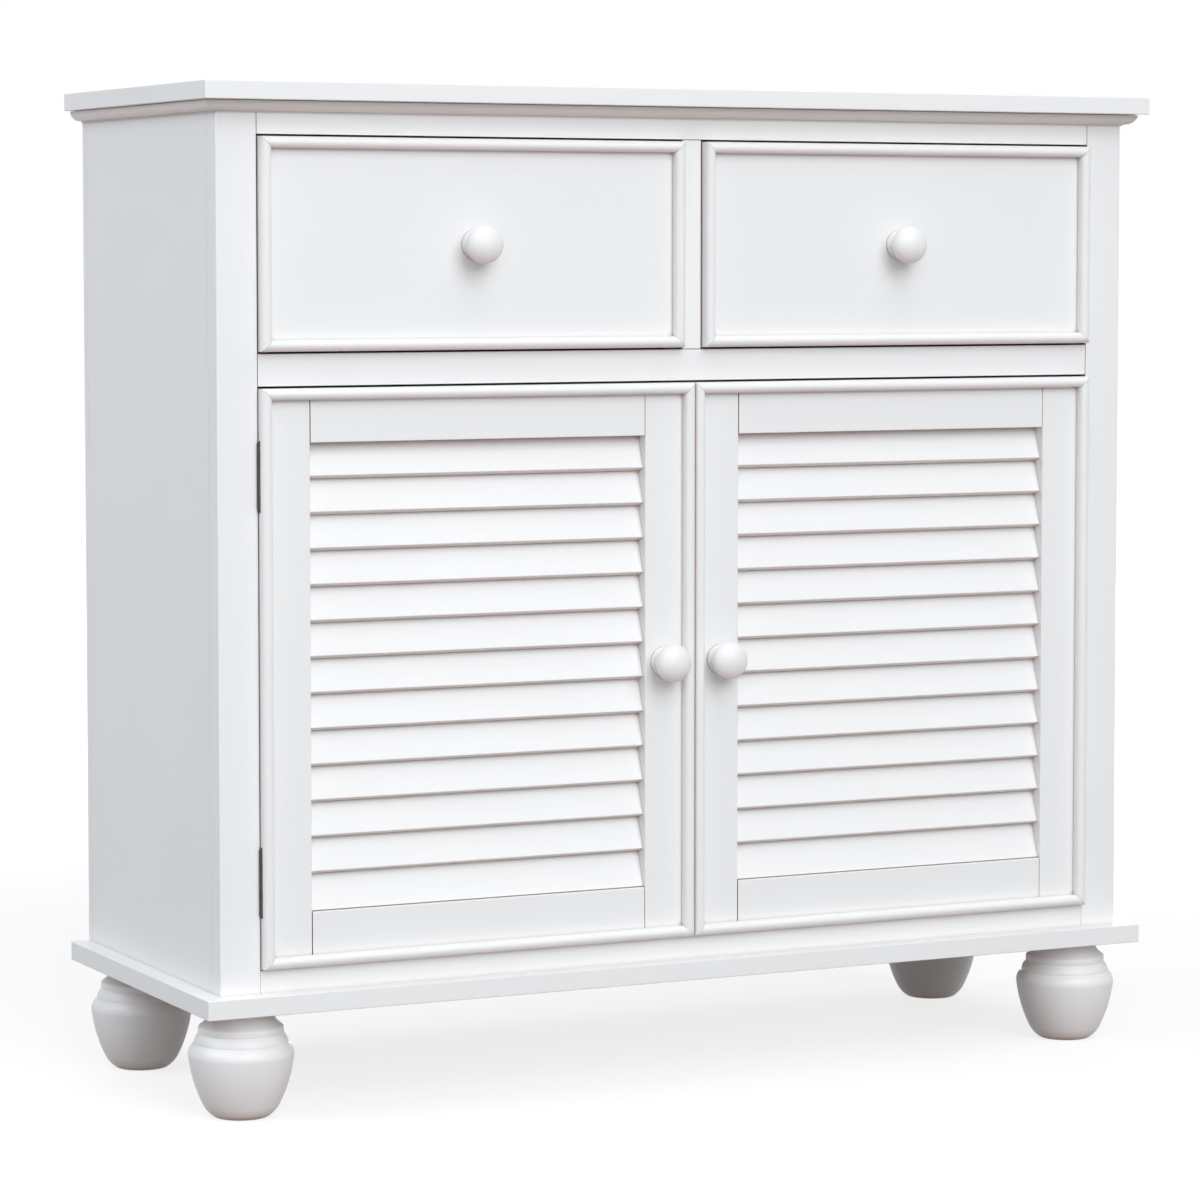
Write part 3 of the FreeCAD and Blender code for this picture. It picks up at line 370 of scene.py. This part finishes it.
# %% Bare wood
WOOD_PALE = (0.62, 0.44, 0.27, 1.0)
WOOD_DEEP = (0.43, 0.27, 0.14, 1.0)
WOOD_ROUGHNESS = 0.62
GRAIN_LENGTHS = 22.0
BANDS = (70.0, 5.0, 0.6)             # scale, detail and roughness, as for the paint
PORES = (900.0, 3.0, 0.7)
PORE_HEIGHT = 0.08 * MM
GRAIN_RANGE = (0.12, 0.42)           # bands times pores where the wood is palest and deepest


def bare_wood(name, axes):
    """Pale wood: slow bands of growth and fine pores, both drawn out along the board."""
    material, tree, shader = new_finish(name)
    drawn = drawn_out(tree, axes, GRAIN_LENGTHS)
    pores = noise(tree, drawn, *PORES)
    grain = combine(tree, "MULTIPLY", noise(tree, drawn, *BANDS), pores)
    depth = ranged(tree, grain, GRAIN_RANGE)
    feed(tree, shader, {"Base Color": mix(tree, depth, WOOD_PALE, WOOD_DEEP),
                        "Roughness": WOOD_ROUGHNESS,
                        "Normal": bump(tree, pores, PORE_HEIGHT)})
    return material


wood = {axes: bare_wood("bare_wood_" + axes.lower(), axes) for axes in ("X", "Y")}
print("woods:", [material.name for material in wood.values()])

# %% [markdown]
# ## Metal and plastic
#
# The butt hinges are dark bronze, rubbed brighter in places. Screws, bolts, strikes and shelf pins are
# zinc plated steel. Both are the same finish with other numbers: two tones that drift into each other,
# and fine scratches that change the gloss. The double catch is a plain white moulding, with the fine
# sparkle that a mould leaves.

# %% Metal
SCRATCH_LENGTHS = 12.0
RUBBING = (260.0, 4.0, 0.6)          # scale, detail and roughness, as for the paint
METALS = {                           # two tones, roughness, noise of the scratches, and their height
    "dark_bronze": ((0.035, 0.031, 0.030, 1.0), (0.13, 0.12, 0.118, 1.0), (0.34, 0.52),
                    (900.0, 3.0, 0.5), 0.02 * MM),
    "zinc_steel": ((0.55, 0.55, 0.54, 1.0), (0.72, 0.72, 0.70, 1.0), (0.25, 0.42),
                   (1500.0, 3.0, 0.5), 0.01 * MM),
}


def plated_metal(name, dark, bright, roughness, scratches, height):
    """Metal whose tone drifts between two colours, with fine scratches along Z in its gloss."""
    material, tree, shader = new_finish(name)
    rubbed = noise(tree, place_on(tree), *RUBBING)
    lines = noise(tree, drawn_out(tree, "Z", SCRATCH_LENGTHS), *scratches)
    feed(tree, shader, {"Base Color": mix(tree, rubbed, dark, bright),
                        "Metallic": 1.0,
                        "Roughness": ranged(tree, lines, after=roughness),
                        "Normal": bump(tree, lines, height)})
    return material


metal = {name: plated_metal(name, *settings) for name, settings in METALS.items()}
print("metals:", [material.name for material in metal.values()])

# %% Plastic
PLASTIC_LIGHT = (0.80, 0.80, 0.79, 1.0)
PLASTIC_DARK = (0.74, 0.74, 0.73, 1.0)
PLASTIC_ROUGHNESS = 0.5
SPARKLE = (1600.0, 2.0, 0.5)         # scale, detail and roughness, as for the paint
SPARKLE_HEIGHT = 0.03 * MM


def moulded_plastic(name):
    """White plastic with the fine sparkle texture of a mould."""
    material, tree, shader = new_finish(name)
    sparkle = noise(tree, place_on(tree), *SPARKLE)
    feed(tree, shader, {"Base Color": mix(tree, sparkle, PLASTIC_LIGHT, PLASTIC_DARK),
                        "Roughness": PLASTIC_ROUGHNESS,
                        "Normal": bump(tree, sparkle, SPARKLE_HEIGHT)})
    return material


plastic = moulded_plastic("white_plastic")
print("plastic:", plastic.name)

# %% [markdown]
# ## A finish for every board
#
# Each solid takes the finish of its material in the record, and wood and paint also need to know
# which way the board runs. Upright boards are known by a word in their names, the drawers' sides and
# the strips that they run on lie front to back, and everything else runs from left to right.

# %% Finishes on the solids
UPRIGHT_WORDS = ("stile", "mullion", "side_panel", "back_panel")
FRONT_TO_BACK_ENDINGS = ("sides", "strips")
finish_of_slot = {**metal, "white_plastic": plastic}
slot_of_node = {row["node"]: row["material_slot"] for row in frame["record"]["subparts"]}


def finish_for(name):
    """The material of one solid: by its slot, and for wood by the way that its fibres run."""
    slot = slot_of_node[name]
    if slot == "bare_wood":
        return wood["Y" if name.endswith(FRONT_TO_BACK_ENDINGS) else "X"]
    if slot == "white_paint":
        if name.endswith("foot"):
            return paint["XY"]
        if name.endswith("knob"):
            return paint["XZ"]
        return paint["Z" if any(word in name for word in UPRIGHT_WORDS) else "X"]
    return finish_of_slot[slot]


for name, thing in nodes.items():
    thing.data.materials.clear()
    thing.data.materials.append(finish_for(name))
print("finished", len(nodes), "solids")

# %% [markdown]
# ## A lathe
#
# The feet and the knobs are turned. A turned shape is only an outline that goes round an axis, so one
# function makes them all, as a grid of points round the axis and along the outline. The Screw modifier
# could do the same, but it has to be applied, and its ends need closing.

# %% The lathe
LATHE_STEPS = 96                     # faces round the axis
RIGHT, BACK, UP, FORWARD = (1, 0, 0), (0, 1, 0), (0, 0, 1), (0, -1, 0)
body_of_node = {name: thing["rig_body"] for name, thing in nodes.items()}


def turn(name, outline, centre, first, second, axis):
    """Carry an outline of (across, along) round an axis: a point at angle a lies at
    centre + across * (cos a * first + sin a * second) + along * axis. Both ends close on the axis."""
    centre, axis = np.array(centre), np.array(axis)
    angle = np.linspace(0.0, 2 * np.pi, LATHE_STEPS, endpoint=False)[:, None]
    ring = np.cos(angle) * np.array(first) + np.sin(angle) * np.array(second)
    across, height = outline[1:-1, :1, None], outline[1:-1, 1:, None]
    wall = centre + across * ring[None] + height * axis
    ends = [centre + outline[end, 1] * axis for end in (0, -1)]
    points = np.concatenate((wall.reshape(-1, 3), ends))
    grid = np.arange(len(points) - 2).reshape(-1, LATHE_STEPS)
    beside = np.roll(grid, -1, axis=1)
    quads = np.stack((grid[:-1], grid[1:], beside[1:], beside[:-1]), axis=-1).reshape(-1, 4)
    first_fan = np.stack((np.full(LATHE_STEPS, len(points) - 2), grid[0], beside[0]), axis=-1)
    last_fan = np.stack((np.full(LATHE_STEPS, len(points) - 1), beside[-1], grid[-1]), axis=-1)
    mesh = bpy.data.meshes.new(name)
    mesh.from_pydata(points.tolist(), [], quads.tolist() + first_fan.tolist() + last_fan.tolist())
    mesh.polygons.foreach_set("use_smooth", np.ones(len(mesh.polygons), dtype=bool))
    mesh.validate()
    return put_in_scene(name, mesh)


def stand_for(piece, node):
    """Give a turned piece its paint, and let it stand for the plain solid on the same body."""
    piece.data.materials.append(finish_for(node))
    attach(piece, body_of_node[node])
    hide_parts(node)


# %% [markdown]
# ## Turning the feet
#
# Each foot is turned from one block: a cove under the base board, a flat collar, a ring, and the wide
# bun that tapers to a small sole. Its outline is a few points from top to bottom, with stretches
# between them that bow out or in. Paint fills the creases between the stretches, so the outline is
# averaged over a short length before it is turned.

# %% Feet
OUTLINE_STEP = 0.5 * MM
PAINT_ROUNDING = np.array((1, 4, 6, 4, 1)) / 16      # how a painted outline averages its neighbours
FOOT_OUTLINE = (                     # radius, height and bow of the stretch before, in millimetres
    (0.0, 97.0, 0.0), (28.5, 97.0, 0.0),                       # top, against the base board
    (37.7, 81.5, -2.6), (37.7, 75.4, 0.3),                     # cove and collar
    (37.2, 75.4, 0.0), (41.9, 66.6, 1.2), (41.4, 66.6, 0.0),   # ring between two grooves
    (47.2, 55.9, 1.6), (33.9, 10.3, 2.2), (23.6, 0.0, 1.0),    # bun
    (0.0, 0.0, 0.0))                                           # sole


def bowed_outline(points):
    """Points along an outline of (across, along, bow) in millimetres. A stretch runs straight from one
    point to the next at t from 0 to 1, pushed out to its side by its own bow times 4 t (1 - t)."""
    stretches = []
    for start, end in zip(points, points[1:]):
        run = np.subtract(end[:2], start[:2]) * MM
        length = np.hypot(*run)
        t = np.linspace(0.0, 1.0, 2 + int(length / OUTLINE_STEP))[:-1, None]
        side = np.array((-run[1], run[0])) / length
        stretches.append(np.array(start[:2]) * MM + t * run + 4 * t * (1 - t) * end[2] * MM * side)
    return np.concatenate((*stretches, [np.array(points[-1][:2]) * MM]))


def painted(outline):
    """The outline with each inner point replaced by the weighted mean of itself and its neighbours."""
    reach = len(PAINT_ROUNDING) // 2
    spread = np.pad(outline, ((reach, reach), (0, 0)), mode="reflect", reflect_type="odd")
    columns = [np.convolve(column, PAINT_ROUNDING, mode="valid") for column in spread.T]
    return np.stack(columns, axis=1)


foot_outline = painted(bowed_outline(FOOT_OUTLINE))
for node in [name for name in nodes if name.endswith("foot")]:
    low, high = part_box(node)
    sole = ((low[0] + high[0]) / 2, (low[1] + high[1]) / 2, low[2])
    foot = turn("turned_" + node, foot_outline, sole, RIGHT, BACK, UP)
    stand_for(foot, node)
foot_width = round(2 * foot_outline[:, 0].max() / MM, 1)
print("feet of", len(foot.data.polygons), "faces,", foot_width, "mm across")

# %% [markdown]
# ## Turning the knobs
#
# A knob has a round base against the panel, a waist that swells into a deep back, and a shallow dome.
# Its curves run into each other without a crease, as quarters of an ellipse do: a quarter leaves its
# first point towards the corner between them and comes into its second point from there.

# %% Knobs
QUARTER_POINTS = 14
KNOB_BASE, KNOB_NECK, KNOB_WIDEST = 13.5, 8.0, 17.25      # radii in millimetres
KNOB_COVE, KNOB_BACK, KNOB_LENGTH = 3.5, 12.0, 31.0       # millimetres out from the panel
KNOB_QUARTERS = (                    # corner and end of each quarter, from the tip back to the panel
    ((KNOB_WIDEST, KNOB_LENGTH), (KNOB_WIDEST, 20.5)),     # dome
    ((KNOB_WIDEST, KNOB_BACK), (10.5, KNOB_BACK)),         # back
    ((KNOB_NECK, KNOB_BACK), (KNOB_NECK, 7.5)),            # undercut
    ((KNOB_NECK, KNOB_COVE), (11.5, KNOB_COVE)),           # cove
    ((KNOB_BASE, KNOB_COVE), (KNOB_BASE, 1.5)))            # round edge of the base


def quarter_outline(start, quarters):
    """Points along quarters of an ellipse. With the middle at start + end - corner, a point at angle a
    is the middle + cos a * (start - middle) + sin a * (end - middle)."""
    angle = np.linspace(0.0, np.pi / 2, QUARTER_POINTS)[:-1, None]
    stretches = []
    for corner, end in quarters:
        start, corner, end = (np.array(point) for point in (start, corner, end))
        middle = start + end - corner
        stretches.append(middle + np.cos(angle) * (start - middle) + np.sin(angle) * (end - middle))
        start = end
    return np.concatenate((*stretches, [end, (end[0], 0.0), (0.0, 0.0)])) * MM


knob_outline = quarter_outline((0.0, KNOB_LENGTH), KNOB_QUARTERS)
for node in [name for name in nodes if name.endswith("knob")]:
    low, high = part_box(node)
    seat = ((low[0] + high[0]) / 2, low[1] + KNOB_LENGTH * MM, (low[2] + high[2]) / 2)
    knob = turn("turned_" + node, knob_outline, seat, RIGHT, UP, FORWARD)
    stand_for(knob, node)
knob_width = round(2 * knob_outline[:, 0].max() / MM, 1)
print("knobs of", len(knob.data.polygons), "faces,", knob_width, "mm across")
